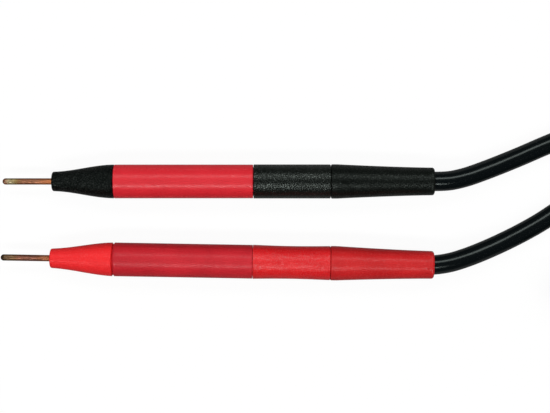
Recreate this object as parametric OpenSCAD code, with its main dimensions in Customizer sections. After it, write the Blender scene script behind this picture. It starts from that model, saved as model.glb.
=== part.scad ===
// A pair of test-lead probes, black and red, lying side by side with their
// tips towards -X. Each probe is a pin vise: the nose cap screws onto a brass
// contact body and pushes a slit collet back into its taper, which grips the
// replaceable pin. Each lead ends in a shrouded 4 mm plug, and the spare
// length of both leads is folded into two hanks held by one tie.
//
// The probes' own axes are built along +Z from the tip and then laid along X.

/* [Pin] */
// Diameter of the pin where it stands out of the nose
pin_d = 2; // [1.9:0.1:2.2]
// Diameter of the pin's shank inside the probe
shank_d = 1.4; // [1.2:0.05:1.5]
// Length of pin that stands out of the nose cap
pin_out = 15.8; // [12:0.1:19]
// Length of shank held inside the probe
pin_in = 33; // [30:0.5:36]
// Length of the rounded point
point_l = 1; // [0.6:0.1:2]

/* [Nose cap] */
// Length of the black probe's nose cap
black_nose_l = 19.6; // [18:0.1:22]
// Length of the red probe's nose cap
red_nose_l = 20; // [18:0.1:22]
// Diameter of the nose's front face
nose_tip_d = 6.2; // [5.6:0.1:7.4]
// Radius round the nose's front edge
nose_edge = 0.6; // [0.3:0.1:1.2]
// How far the black nose swells as an S curve, 0 is a straight taper
black_swell = 1; // [0:0.05:1]
// How far the red nose swells as an S curve, 0 is a straight taper
red_swell = 0.8; // [0:0.05:1]
// Depth of the cap's front wall, from its face to the collet
cap_wall = 6; // [5:0.1:7]
// Chamfer at the seam on the black probe
black_seam = 0.15; // [0.1:0.05:0.4]
// Chamfer at the seam on the red probe
red_seam = 0.4; // [0.1:0.05:0.6]

/* [Collet] */
// Diameter of the collet's head
collet_d = 4.8; // [4.4:0.1:5]
// Length of the collet's straight head
collet_head_l = 3.2; // [2.5:0.1:4]
// Diameter of the collet's stem
collet_stem_d = 3.8; // [3.4:0.1:4]
// Length of the whole collet
collet_l = 20; // [18:0.5:22]
// Half angle of the collet's taper
collet_angle = 20; // [15:1:30]
// Number of slits that part the jaws
jaw_count = 4; // [2:2:6]
// Width of each slit
slit_w = 0.4; // [0.2:0.05:0.6]
// Length of each slit
slit_l = 13; // [10:0.5:15]

/* [Contact body] */
// Diameter of the screwed spigot that the nose cap turns on
spigot_d = 6.4; // [6:0.1:6.6]
// Diameter of the part pressed into the barrel
core_d = 7.2; // [7.2:0.1:7.8]
// Length of the pressed part
core_l = 30; // [28:0.5:34]
// Depth of the solder cup at the rear
cup_depth = 8; // [5:0.5:10]
// Diameter of the solder cup's bore
cup_d = 3; // [2.8:0.1:3.6]

/* [Barrel and sleeve] */
// Length of the barrel between its two seams
barrel_l = 44.2; // [42:0.1:48]
// Diameter of the barrel
barrel_d = 10.7; // [10.2:0.1:11.2]
// Length of the rear sleeve
sleeve_l = 24.6; // [22:0.1:28]
// Diameter of the rear sleeve
sleeve_d = 10.8; // [10.2:0.1:11.2]
// How far the red sleeve's middle is drawn in
red_waist = 0.2; // [0:0.05:0.3]
// Diameter of the spigots that join barrel, sleeve and boot
joint_d = 8.4; // [8.2:0.1:8.8]
// Length of the barrel's rear spigot
joint_l = 8; // [6:0.5:9]
// Chamfer at the seams at both ends of the sleeve
sleeve_seam = 0.25; // [0.1:0.05:0.35]

/* [Strain relief boot] */
// Length of the boot that shows
boot_l = 32.8; // [28:0.1:38]
// Diameter of the boot at its shoulder
boot_d = 10.9; // [10.4:0.1:11.4]
// Diameter of the boot at its cable end
boot_end_d = 8.8; // [8:0.1:9.6]
// Length of the straight shoulder
shoulder_l = 2; // [1:0.1:4]
// How steeply the boot falls behind its shoulder
boot_fall = 1.4; // [1:0.05:2]
// Length of the boot's plug inside the sleeve
boot_plug_l = 6; // [4:0.5:7]
// Radius round the boot's rear edge
boot_edge = 0.7; // [0.2:0.1:0.8]

/* [Lead] */
// Outer diameter of the flexible lead
lead_d = 6.2; // [5.6:0.1:6.6]
// Diameter of the stranded copper core
core_wire_d = 2.6; // [1.8:0.1:2.7]
// Length of the crimp ferrule
ferrule_l = 6; // [4:0.5:7]
// Wall of the crimp ferrule
ferrule_wall = 0.6; // [0.4:0.05:0.8]

/* [Plug] */
// Diameter of the plug's contact
plug_pin_d = 4; // [3.8:0.05:4.1]
// Length of the plug's contact
plug_pin_l = 18; // [15:0.5:18.5]
// Outer diameter of the plug
plug_d = 11.2; // [10.8:0.1:12]
// Bore of the insulating shroud
shroud_bore = 8.2; // [7.8:0.1:8.6]
// Length of the shroud in front of the plug's body
shroud_l = 19; // [18.5:0.5:22]
// Length of the plug's body behind the shroud
plug_body_l = 14; // [12:0.5:16]
// Length of the plug's tapered boot
plug_boot_l = 12; // [10:0.5:14]
// Number of grip grooves round the plug's body
grip_count = 4; // [0:1:5]
// Number of leaves in the contact's spring cage
leaf_count = 6; // [4:1:8]

/* [Layout] */
// Distance between the two tips, across the row
tip_gap = 24.1; // [22:0.1:30]
// How far the red tip stands out past the black one
tip_stagger = 0.6; // [0:0.1:2]
// Angle that the red probe is turned, clockwise from above
red_turn = 1; // [0:0.1:2]
// Length of a hank's runs, between the centres of its folds
hank_run = 93; // [93:1:110]
// Fold radius of a hank's innermost loop
fold_r = 18.6; // [18.6:0.1:20]
// Sideways step from one loop to the next
loop_step = 7.05; // [7:0.05:7.4]
// How far the tie draws the runs in
waist_in = 9; // [6:0.5:9.5]
// Width of the tie
tie_w = 8; // [5:0.5:12]
// Thickness of the tie
tie_t = 0.8; // [0.6:0.1:1]

/* [Fits] */
// Clearance of a turning or sliding fit, on the radius
run_gap = 0.05; // [0.03:0.01:0.08]
// Clearance between pieces pressed or moulded together
seat_gap = 0.02; // [0.01:0.01:0.04]
// Clearance of the screwed spigot in the nose cap, on the radius
thread_gap = 0.08; // [0.05:0.01:0.1]

/* [Hidden] */
$fn = 64;

// Index of each probe in the lists below
BLACK = 0;
RED = 1;

// Colours
black_plastic = "#2a2d2b";
red_plastic = "#d8363a";
barrel_red = "#c9404a";
copper = "#b97a52";
brass = "#c2a354";
nickel = "#c9c9c4";
jacket_black = "#17191a";
tie_black = "#222222";
part_colour = [black_plastic, red_plastic];

// Gaps and steps inside a probe
head_gap = 0.25;
jaw_gap = 0.05;
chamber_gap = 0.15;
bore_step = 0.1;
pocket_room = 1;
stem_room = 0.5;
cup_gap = 0.1;
relief_l = 0.6;
jaw_slack = 0.03;
edge = 0.3;
lead_in = 0.4;

// Stations along a probe, from its tip
nose_l = [black_nose_l, red_nose_l];
swell = [black_swell, red_swell];
seam = [black_seam, red_seam];
waist = [0, red_waist];
nose_at = pin_out;
barrel_at = [for (p = [BLACK, RED]) nose_at + nose_l[p]];
sleeve_at = [for (p = [BLACK, RED]) barrel_at[p] + barrel_l];
boot_at = [for (p = [BLACK, RED]) sleeve_at[p] + sleeve_l];
probe_l = [for (p = [BLACK, RED]) boot_at[p] + boot_l];
spigot_l = min(black_nose_l, red_nose_l) - cap_wall - collet_head_l - head_gap;
spigot_at = [for (p = [BLACK, RED]) barrel_at[p] - spigot_l];
collet_at = [for (p = [BLACK, RED]) nose_at + nose_l[p] - min(black_nose_l, red_nose_l) + cap_wall];
core_end = [for (p = [BLACK, RED]) barrel_at[p] + core_l];
ferrule_at = [for (p = [BLACK, RED]) boot_at[p] - boot_plug_l - seat_gap - ferrule_l];

// Where the two probes lie: the middle of the row is over the origin
tallest_r = max(barrel_d, sleeve_d, boot_d) / 2;
axis_z = tallest_r;
row_l = max(tip_stagger + probe_l[BLACK], probe_l[RED] * cos(red_turn));
black_y = (tip_gap + (boot_at[RED] + shoulder_l / 2) * sin(red_turn)) / 2;
turn = [0, -red_turn];
tip_place = [
    [tip_stagger - row_l / 2, black_y, axis_z],
    [-row_l / 2, black_y - tip_gap, axis_z],
];
exit_place = [
    for (p = [BLACK, RED])
        tip_place[p] + probe_l[p] * [cos(turn[p]), sin(turn[p]), 0]
];

// Turned details
point_steps = 8;
curve_steps = 12;

// The hanks: loops of the lead in layers, over one another
lead_r = lead_d / 2;
layer_gap = 0.45;
layer_h = lead_d + layer_gap;
lie_gap = 0.3;
outer_r = fold_r + loop_step;
hank_x = 220.7;
hank_y = 1.8;
tie_room = 0.4;
climb_from = 4;
climb_to = 5;
hank_end = [7, 6.5];
hank_floor = [0, 2 * layer_h];
rings_per_stretch = 6;
hank_sides = 6;
lead_sides = 10;

// Routes, from the boot's end to the start of each hank: steps from the boot's end
// along X and Y, and the height above the surface
black_route = [
    [5, 0.25, 5.4], [10, 1.35, 5], [16, 3.4, 4.2], [22, 5.7, 3.4], [28, 8.15, 3.1],
    [36, 11.6, 3.1], [41, 13.5, 3.1], [46, 14.4, 3.1], [54, 14.5, 3.1], [66, 14.5, 3.1],
    [80, 14.5, 3.1],
];
red_route = [
    [5, 0.7, 5.4], [10, 2.15, 5], [16, 4.4, 4.2], [22, 7, 3.4], [28, 9.95, 3.1],
    [34, 13.3, 3.1], [40, 17.2, 3.15], [48, 22.6, 4.2], [57, 28.2, 7.2], [67, 33.3, 11.4],
    [77, 37.3, 14.9], [88, 40.1, 16.3],
];
route = [black_route, red_route];

// Routes from the end of each hank to its plug, in place
black_tail_route = [[164.5, -20.45, 9.3], [160, -20.75, 7.9], [155.5, -21.1, 6.3]];
red_tail_route = [[208, -11.1, 24.2], [201, -12.7, 24.8], [195, -14.2, 25.3]];
tail_route = [black_tail_route, red_tail_route];

// Plugs: where the boot's rear face is. Both contacts point towards -X
plug_l = shroud_l + plug_body_l + plug_boot_l;
plug_r = plug_d / 2;
red_plug_z = 3 * layer_h - layer_gap + lie_gap + plug_r;
plug_rear = [[151.7, -21.25, plug_r], [190, -14.9, red_plug_z]];
stem_l = 4;
stem_step = 0.2;
stem_d = plug_pin_d - 2 * stem_step;
plug_edge = 0.5;
boot_step = 0.6;
boot_wall = 0.9;
grip_rim = 2;
groove_depth = 0.35;
head_l = 2.2;
neck_d = 2.7;
neck_end_l = 2;
socket_l = 4;
socket_wall = 0.7;
leaf_t = 0.35;
leaf_w = 0.9;
leaf_steps = 8;
leaf_room = 0.05;
collar_l = 1.2;

// ---------------------------------------------------------------- helpers

function smooth(u) = u * u * (3 - 2 * u);
function unit(v) = v / norm(v);

// A probe's local frame: +Z runs from the tip to the cable
module on_probe(p) {
    translate(tip_place[p]) rotate([0, 0, turn[p]]) rotate([0, 90, 0]) children();
}

// A plug's local frame: +Z runs from the rear of its boot to the tip of its contact
module on_plug(p) {
    translate(plug_rear[p]) rotate([0, -90, 0]) children();
}

// A turned solid, from a profile of [radius, height]
module turned(profile) {
    rotate_extrude() polygon(profile);
}

// A straight bore with room past both its ends
module bore(d, from, to) {
    translate([0, 0, from]) cylinder(d = d, h = to - from);
}

// Points of a quarter round on the profile's outer side
function quarter(r, z, edge, from, steps = 4) =
    [for (i = [0 : steps]) let (a = from + 90 * i / steps) [r - edge + edge * cos(a), z + edge * sin(a)]];

// ---------------------------------------------------------------- probe pieces

module probe_pin(p) {
    r = pin_d / 2;
    point = [
        for (i = [0 : point_steps])
            let (a = 90 * i / point_steps)
                [r * sin(a), point_l * (1 - cos(a))]
    ];
    color(copper) on_probe(p) turned(concat(point, [
        [r, pin_out],
        [shank_d / 2, pin_out],
        [shank_d / 2, pin_out + pin_in - edge],
        [shank_d / 2 - edge, pin_out + pin_in],
        [0, pin_out + pin_in],
    ]));
}

// Radius of the nose at a share of its length, blending a straight taper and an S curve
function nose_r(p, u) =
    nose_tip_d / 2 + (barrel_d - nose_tip_d) / 2 * (swell[p] * smooth(u) + (1 - swell[p]) * u);

module nose_cap(p) {
    front = quarter(nose_tip_d / 2, nose_at + nose_edge, nose_edge, -90);
    start = nose_edge / nose_l[p];
    side = [
        for (i = [1 : curve_steps])
            let (u = start + (1 - start) * i / curve_steps - (i == curve_steps ? seam[p] / nose_l[p] : 0))
                [nose_r(p, u), nose_at + nose_l[p] * u]
    ];
    rear = barrel_at[p] - seat_gap;
    color(part_colour[p]) on_probe(p) difference() {
        turned(concat([[0, nose_at]], front, side, [[barrel_d / 2 - seam[p], rear], [0, rear]]));
        bore(shank_d + 2 * bore_step, nose_at - 1, rear);
        bore(collet_d + 2 * chamber_gap, collet_at[p], rear + 1);
        bore(spigot_d + 2 * thread_gap, spigot_at[p] - relief_l, rear + 1);
    }
}

module collet(p) {
    front = collet_at[p] + run_gap;
    head_end = front + collet_head_l;
    taper_l = (collet_d - collet_stem_d) / 2 / tan(collet_angle);
    color(brass) on_probe(p) difference() {
        turned([
            [shank_d / 2 + jaw_slack, front],
            [collet_d / 2 - edge, front],
            [collet_d / 2, front + edge],
            [collet_d / 2, head_end],
            [collet_stem_d / 2, head_end + taper_l],
            [collet_stem_d / 2, front + collet_l],
            [shank_d / 2 + jaw_slack, front + collet_l],
        ]);
        for (i = [0 : jaw_count / 2 - 1])
            rotate([0, 0, 360 / jaw_count * i])
                translate([-collet_d, -slit_w / 2, front - 1])
                    cube([2 * collet_d, slit_w, slit_l + 1]);
    }
}

module contact_body(p) {
    front = spigot_at[p];
    taper_end = collet_at[p] + run_gap + collet_head_l
        + (collet_d - collet_stem_d) / 2 / tan(collet_angle);
    mouth_r = collet_stem_d / 2 + run_gap + (taper_end - front) * tan(collet_angle) + jaw_gap;
    pocket_end = nose_at + pin_in + pocket_room;
    stem_end = collet_at[p] + collet_l + stem_room;
    color(brass) on_probe(p) difference() {
        turned([
            [0, front],
            [spigot_d / 2 - lead_in, front],
            [spigot_d / 2, front + lead_in],
            [spigot_d / 2, barrel_at[p]],
            [core_d / 2, barrel_at[p]],
            [core_d / 2, core_end[p]],
            [0, core_end[p]],
        ]);
        bore(collet_stem_d + 2 * run_gap, front - 1, stem_end);
        bore(shank_d + 2 * bore_step, front - 1, pocket_end);
        translate([0, 0, front - 0.001])
            cylinder(
                r1 = mouth_r,
                r2 = collet_stem_d / 2 + run_gap,
                h = (mouth_r - collet_stem_d / 2 - run_gap) / tan(collet_angle)
            );
        bore(cup_d, core_end[p] - cup_depth, core_end[p] + 1);
    }
}

module barrel(p) {
    r = barrel_d / 2;
    front = barrel_at[p];
    rear = sleeve_at[p] - seat_gap;
    spigot_r = joint_d / 2 - seat_gap;
    color(barrel_red) on_probe(p) difference() {
        turned([
            [0, front],
            [r - seam[p], front],
            [r, front + seam[p]],
            [r, rear - sleeve_seam],
            [r - sleeve_seam, rear],
            [spigot_r, rear],
            [spigot_r, rear + joint_l - lead_in],
            [spigot_r - lead_in, rear + joint_l],
            [0, rear + joint_l],
        ]);
        bore(core_d + 2 * seat_gap, front - 1, rear + joint_l + 1);
    }
}

module rear_sleeve(p) {
    r = sleeve_d / 2;
    front = sleeve_at[p];
    rear = boot_at[p] - seat_gap;
    side = [
        for (i = [0 : curve_steps])
            let (u = i / curve_steps)
                [r - waist[p] * sin(180 * u), front + sleeve_seam + (sleeve_l - seat_gap - 2 * sleeve_seam) * u]
    ];
    color(part_colour[p]) on_probe(p) difference() {
        turned(concat(
            [[0, front], [r - sleeve_seam, front]],
            side,
            [[r - sleeve_seam, rear], [0, rear]]
        ));
        bore(joint_d, front - 1, rear + 1);
    }
}

// Radius of the boot at a share of the length behind its shoulder
function boot_r(u) = boot_end_d / 2 + (boot_d - boot_end_d) / 2 * pow(1 - u, boot_fall);

module strain_boot(p) {
    front = boot_at[p];
    fall_from = front + shoulder_l;
    fall_l = boot_l - shoulder_l - boot_edge;
    side = [
        for (i = [0 : curve_steps])
            let (u = i / curve_steps)
                [boot_r(u), fall_from + fall_l * u]
    ];
    inner_r = joint_d / 2 - seat_gap;
    color(part_colour[p]) on_probe(p) difference() {
        turned(concat(
            [
                [0, front - boot_plug_l],
                [inner_r, front - boot_plug_l],
                [inner_r, front],
                [boot_d / 2 - edge, front],
                [boot_d / 2, front + edge],
            ],
            side,
            quarter(boot_end_d / 2, probe_l[p] - boot_edge, boot_edge, 0),
            [[0, probe_l[p]]]
        ));
        bore(lead_d + 2 * seat_gap, front - boot_plug_l - 1, probe_l[p] + 1);
    }
}

module crimp_ferrule(p) {
    color(copper) on_probe(p) difference() {
        bore(lead_d + 2 * ferrule_wall, ferrule_at[p], ferrule_at[p] + ferrule_l);
        bore(lead_d + 2 * seat_gap, ferrule_at[p] - 1, ferrule_at[p] + ferrule_l + 1);
    }
}

// The bared strands: from the bottom of the solder cup to the start of the jacket
module lead_core(p) {
    cup_bottom = core_end[p] - cup_depth + cup_gap;
    color(copper) on_probe(p) bore(core_wire_d, cup_bottom, ferrule_at[p] - seat_gap);
}

// The insulated end of the lead inside the probe
module lead_jacket(p) {
    color(jacket_black) on_probe(p) bore(lead_d, ferrule_at[p], probe_l[p]);
}

// ---------------------------------------------------------------- leads

// One ring of a tube round a point, with its lowest corner straight below
function ring(at, along, r, sides) =
    let (side = unit(cross(along, [0, 0, 1])), up = cross(side, along))
        [for (k = [0 : sides - 1]) let (a = 360 * k / sides) at + r * (sin(a) * side - cos(a) * up)];

// Direction of travel at each point of a line, with its two ends given
function heading(line, i, first, last) =
    i == 0 ? first
    : i == len(line) - 1 ? last
    : unit(unit(line[i] - line[i - 1]) + unit(line[i + 1] - line[i]));

// A closed tube swept along a line of points
module tube(line, d, sides, leaves, arrives) {
    points = [
        for (i = [0 : len(line) - 1])
            each ring(line[i], heading(line, i, leaves, arrives), d / 2, sides)
    ];
    rows = len(line) - 1;
    walls = [
        for (i = [0 : rows - 1])
            for (k = [0 : sides - 1])
                let (a = i * sides + k, b = i * sides + (k + 1) % sides)
                    each [[a, b, a + sides], [b, b + sides, a + sides]]
    ];
    start_cap = [for (k = [1 : sides - 2]) [0, k + 1, k]];
    last = rows * sides;
    end_cap = [for (k = [1 : sides - 2]) [last, last + k, last + k + 1]];
    polyhedron(points = points, faces = concat(start_cap, walls, end_cap), convexity = 8);
}

// How much a run is drawn in by the tie, from 0 at its ends to 1 at its middle
function draw_in(x) = pow(cos(180 * x / hank_run), 2);

// A loop is four stretches: the run towards +X, a fold, the run back, a fold.
// Fold radius after s stretches: spiralling in, waiting while the lead climbs, and out again
function loop_r(s) =
    s < climb_from ? outer_r - loop_step * s / 4
    : s < climb_to ? fold_r
    : fold_r + loop_step * (s - climb_to) / 4;

function layer_z(s) =
    layer_h * smooth(min(max((s - climb_from) / (climb_to - climb_from), 0), 1));

// A point of the folded lead after s stretches, for a hank that starts at height low
function hank_point(s, low) =
    let (
        stretch = floor(s) % 4,
        u = s - floor(s),
        r = loop_r(s),
        side = stretch < 2 ? 1 : -1,
        x = hank_run * (u - 0.5) * side,
        a = 90 - 180 * u,
        flat = stretch % 2 == 0
            ? [x, side * (r - waist_in * draw_in(x))]
            : side * [hank_run / 2 + r * cos(a), r * sin(a)],
        lift = stretch % 2 == 0 ? (tie_t + tie_room) * draw_in(x) : 0
    )
        [hank_x + flat[0], hank_y + flat[1], low + lead_r + layer_z(s) + lift];

hank_entry = [
    for (p = [BLACK, RED]) hank_point(0, hank_floor[p]) - [lead_d, 0, 0]
];

// The hank's last point runs on straight for one diameter
last_step = 0.0001;
hank_exit = [
    for (p = [BLACK, RED])
        hank_point(hank_end[p] - last_step, hank_floor[p]) - [lead_d, 0, 0]
];

function hank_line(p, per_stretch) = concat(
    [hank_entry[p]],
    [for (i = [0 : floor(hank_end[p] * per_stretch) - 1]) hank_point(i / per_stretch, hank_floor[p])],
    [hank_point(hank_end[p] - last_step, hank_floor[p]), hank_exit[p]]
);

// Least gap of the lead to itself or to the other hank, measured on close points
measure_steps = 16;
close_lines = [for (p = [BLACK, RED]) hank_line(p, measure_steps)];
function own_gap(line) = min([
    for (i = [0 : len(line) - 1])
        for (j = [i + measure_steps : 1 : len(line) - 1])
            norm(line[i] - line[j])
]) - lead_d;
function pair_gap(a, b) = min([for (i = a) for (j = b) norm(i - j)]) - lead_d;
function total(v, i = 0) = i == len(v) ? 0 : v[i] + total(v, i + 1);
function path_l(line) = total([for (i = [1 : len(line) - 1]) norm(line[i] - line[i - 1])]);

function lead_line(p) = concat(
    [exit_place[p]],
    [for (at = route[p]) [exit_place[p][0] + at[0], exit_place[p][1] + at[1], at[2]]],
    [hank_entry[p]]
);
function tail_line(p) = concat([hank_exit[p]], tail_route[p], [plug_rear[p]]);

union() {
    echo(black_hank_gap = own_gap(close_lines[BLACK]), red_hank_gap = own_gap(close_lines[RED]));
    echo(gap_between_hanks = pair_gap(close_lines[BLACK], close_lines[RED]));
    for (p = [BLACK, RED])
        echo(
            probe = p,
            lead = path_l(lead_line(p)),
            hank = path_l(close_lines[p]),
            tail = path_l(tail_line(p))
        );
}

module lead(p) {
    first = [cos(turn[p]), sin(turn[p]), 0];
    color(jacket_black) tube(lead_line(p), lead_d, lead_sides, first, [1, 0, 0]);
}

module lead_hank(p) {
    color(jacket_black)
        tube(hank_line(p, rings_per_stretch), lead_d, hank_sides, [1, 0, 0], [-1, 0, 0]);
}

module lead_tail(p) {
    color(jacket_black)
        tube(tail_line(p), lead_d, lead_sides, [-1, 0, 0], [-1, 0, 0]);
}

// ---------------------------------------------------------------- plug pieces

module plug_boot(p) {
    wide = plug_r - boot_step;
    narrow = lead_r + boot_wall;
    color(part_colour[p]) on_plug(p) difference() {
        turned([
            [0, 0],
            [narrow, 0],
            [wide, plug_boot_l],
            [lead_r + socket_wall, plug_boot_l],
            [lead_r + socket_wall, plug_boot_l + socket_l],
            [0, plug_boot_l + socket_l],
        ]);
        bore(neck_d + 2 * seat_gap, plug_boot_l - neck_end_l, plug_boot_l + socket_l + 1);
    }
}

module plug_body(p) {
    from = plug_boot_l + seat_gap;
    to = plug_boot_l + plug_body_l;
    pitch = (plug_body_l - 2 * grip_rim) / max(grip_count, 1);
    low_r = plug_r - groove_depth;
    grooves = [
        for (i = [0 : 1 : grip_count - 1])
            let (z = from + grip_rim + groove_depth + pitch * i)
                each [
                    [plug_r, z],
                    [low_r, z + groove_depth],
                    [low_r, z + pitch - 3 * groove_depth],
                    [plug_r, z + pitch - 2 * groove_depth],
                ]
    ];
    color(part_colour[p]) on_plug(p) difference() {
        turned(concat(
            [[0, from], [plug_r - plug_edge, from], [plug_r, from + plug_edge]],
            grooves,
            [[plug_r, to], [0, to]]
        ));
        bore(2 * (lead_r + socket_wall + seat_gap), from - 1, from + socket_l + cup_gap);
        bore(neck_d + 2 * seat_gap, from, to + 1);
        bore(stem_d + 2 * seat_gap, to - stem_l, to + 1);
    }
}

module plug_shroud(p) {
    from = plug_boot_l + plug_body_l + seat_gap;
    color(part_colour[p]) on_plug(p) difference() {
        turned([
            [0, from],
            [plug_r, from],
            [plug_r, plug_l - plug_edge],
            [plug_r - plug_edge, plug_l],
            [0, plug_l],
        ]);
        bore(shroud_bore, from - 1, plug_l + 1);
    }
}

// The contact: a stem in the body, a collar, a thin neck under the spring cage, and a round head
module plug_pin(p) {
    from = plug_boot_l + plug_body_l - stem_l + seat_gap;
    body_face = plug_boot_l + plug_body_l + seat_gap;
    base = body_face + stem_l;
    tip = plug_boot_l + plug_body_l + plug_pin_l;
    r = plug_pin_d / 2;
    color(nickel) on_plug(p) turned(concat(
        [
            [0, plug_boot_l - neck_end_l + seat_gap],
            [neck_d / 2, plug_boot_l - neck_end_l + seat_gap],
            [neck_d / 2, from],
            [stem_d / 2, from],
            [stem_d / 2, body_face],
            [r, body_face],
            [r, base],
            [neck_d / 2, base],
            [neck_d / 2, tip - head_l],
            [r, tip - head_l],
        ],
        quarter(r, tip - r / 2, r / 2, 0),
        [[0, tip]]
    ));
}

// The cage: two collars round the neck, joined by bowed leaves
module plug_spring(p) {
    from = plug_boot_l + plug_body_l + stem_l + 2 * seat_gap;
    to = plug_boot_l + plug_body_l + plug_pin_l - head_l - seat_gap;
    inner = neck_d / 2 + seat_gap;
    bow = plug_pin_d / 2 - inner - leaf_t - leaf_room;
    leaf = [
        for (i = [0 : leaf_steps])
            let (u = i / leaf_steps)
                [inner + bow * sin(180 * u), from + collar_l / 2 + (to - from - collar_l) * u]
    ];
    outline = concat(leaf, [for (i = [leaf_steps : -1 : 0]) leaf[i] + [leaf_t, 0]]);
    color(brass) on_plug(p) {
        for (z = [from, to - collar_l])
            difference() {
                bore(2 * (inner + leaf_t), z, z + collar_l);
                bore(2 * inner, z - 1, z + collar_l + 1);
            }
        for (k = [0 : leaf_count - 1])
            rotate([0, 0, 360 / leaf_count * k])
                rotate([90, 0, 0])
                    translate([0, 0, -leaf_w / 2])
                        linear_extrude(leaf_w) polygon(outline);
    }
}

// ---------------------------------------------------------------- tie

module rounded(x0, x1, y0, y1, r) {
    translate([x0 + r, y0]) square([x1 - x0 - 2 * r, y1 - y0]);
    translate([x0, y0 + r]) square([x1 - x0, y1 - y0 - 2 * r]);
    for (x = [x0 + r, x1 - r])
        for (y = [y0 + r, y1 - r])
            translate([x, y]) circle(r);
}

module hank_tie() {
    left = -(loop_r(2.5) - waist_in + lead_r + tie_room);
    right = loop_r(0.5) - waist_in + lead_r + tie_room;
    high = tie_t + 2 * tie_room + 3 * layer_h + lead_d;
    corner = lead_r;
    color(tie_black)
        translate([hank_x - tie_w / 2, hank_y, 0])
            rotate([90, 0, 90])
                linear_extrude(tie_w)
                    difference() {
                        rounded(left - tie_t, right + tie_t, 0, high + tie_t, corner + tie_t);
                        rounded(left, right, tie_t, high, corner);
                    }
}

// ---------------------------------------------------------------- output

probe_pin(BLACK);  // black_probe_pin
probe_pin(RED);  // red_probe_pin
nose_cap(BLACK);  // black_nose_cap
nose_cap(RED);  // red_nose_cap
collet(BLACK);  // black_collet
collet(RED);  // red_collet
contact_body(BLACK);  // black_contact_body
contact_body(RED);  // red_contact_body
barrel(BLACK);  // black_barrel
barrel(RED);  // red_barrel
rear_sleeve(BLACK);  // black_rear_sleeve
rear_sleeve(RED);  // red_rear_sleeve
strain_boot(BLACK);  // black_strain_boot
strain_boot(RED);  // red_strain_boot
crimp_ferrule(BLACK);  // black_crimp_ferrule
crimp_ferrule(RED);  // red_crimp_ferrule
lead_core(BLACK);  // black_lead_core
lead_core(RED);  // red_lead_core
lead_jacket(BLACK);  // black_lead_jacket
lead_jacket(RED);  // red_lead_jacket
lead(BLACK);  // black_lead
lead(RED);  // red_lead
lead_hank(BLACK);  // black_lead_hank
lead_hank(RED);  // red_lead_hank
lead_tail(BLACK);  // black_lead_tail
lead_tail(RED);  // red_lead_tail
plug_boot(BLACK);  // black_plug_boot
plug_boot(RED);  // red_plug_boot
plug_body(BLACK);  // black_plug_body
plug_body(RED);  // red_plug_body
plug_shroud(BLACK);  // black_plug_shroud
plug_shroud(RED);  // red_plug_shroud
plug_pin(BLACK);  // black_plug_pin
plug_pin(RED);  // red_plug_pin
plug_spring(BLACK);  // black_plug_spring
plug_spring(RED);  // red_plug_spring
hank_tie();
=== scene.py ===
"""Looks of a pair of test-lead probes, black and red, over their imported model.

Lengths are in millimetres in the size fields and are turned to metres where a
mesh is made. A field's last letter says what it measures: d is a diameter, r a
radius, l a length, t a thickness, w a width and h a height. A probe's own axis is
+Z from the tip of its pin to its lead, and a plug's is +Z from the rear of its
boot to the tip of its contact.
"""

import logging
import math
from dataclasses import dataclass, field, replace
from enum import Enum
from typing import Any

import bmesh
import bpy
from mathutils import Matrix, Vector


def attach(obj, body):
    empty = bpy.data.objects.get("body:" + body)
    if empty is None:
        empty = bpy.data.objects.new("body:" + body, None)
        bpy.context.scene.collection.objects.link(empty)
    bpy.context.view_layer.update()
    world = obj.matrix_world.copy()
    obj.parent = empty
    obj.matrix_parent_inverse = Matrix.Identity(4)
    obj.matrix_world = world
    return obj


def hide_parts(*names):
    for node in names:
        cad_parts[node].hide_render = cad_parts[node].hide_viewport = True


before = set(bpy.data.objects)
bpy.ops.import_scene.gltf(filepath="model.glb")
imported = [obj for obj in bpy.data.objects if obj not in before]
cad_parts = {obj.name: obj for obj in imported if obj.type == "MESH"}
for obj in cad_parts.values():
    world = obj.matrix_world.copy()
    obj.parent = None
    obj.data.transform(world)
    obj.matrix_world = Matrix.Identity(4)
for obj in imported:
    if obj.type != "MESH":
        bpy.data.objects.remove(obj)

log = logging.getLogger("probes")

MM = 0.001
ON_AXIS = 1e-6  # a radius below this is on the axis
SHARP = 38  # degrees from which an edge of a turned piece stays sharp
NOISE_SPAN = (0.3, 0.7)  # what most of a noise's heights lie between
WAVE_RADIANS = 20  # how far a wave texture runs in one unit of its scaled place
WHITE = (1.0, 1.0, 1.0, 1.0)

Profile = list[tuple[float, float]]
Points = list[Vector]
Spot = tuple[float, float, float]
Piece = bpy.types.Object
Tree = bpy.types.NodeTree
Socket = bpy.types.NodeSocket
Inputs = dict[str | int, Any]


class Hue(Enum):
    """The two colours that the pair comes in."""

    BLACK = "black"
    RED = "red"


# ------------------------------------------------------------------ helpers


def linear(hex_colour: str) -> tuple[float, float, float, float]:
    """Turn an sRGB hex colour to the linear one that the shaders take.

    Args:
        hex_colour: six hex digits after a hash sign.

    Returns:
        Red, green, blue and an alpha of 1.
    """
    parts = [int(hex_colour[i : i + 2], 16) / 255 for i in (1, 3, 5)]
    r, g, b = (c / 12.92 if c <= 0.04045 else ((c + 0.055) / 1.055) ** 2.4 for c in parts)
    return (r, g, b, 1.0)


def smooth(u: float) -> float:
    """The S curve from 0 to 1."""
    return u * u * (3 - 2 * u)


def shares(steps: int, first: int = 0) -> list[float]:
    """Even shares up to 1, from first out of steps."""
    return [i / steps for i in range(first, steps + 1)]


def arc(r: float, z: float, radius: float, start: float, end: float, steps: int = 6) -> Profile:
    """Points of an arc in a turned profile.

    Args:
        r: radius from the axis of the arc's centre.
        z: height of the arc's centre.
        radius: the arc's own radius.
        start: first angle in degrees, from the outward direction towards +Z.
        end: last angle in degrees.
        steps: number of chords.

    Returns:
        The arc's points, first to last.
    """
    turns = [math.radians(start + (end - start) * u) for u in shares(steps)]
    return [(r + radius * math.cos(t), z + radius * math.sin(t)) for t in turns]


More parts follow.
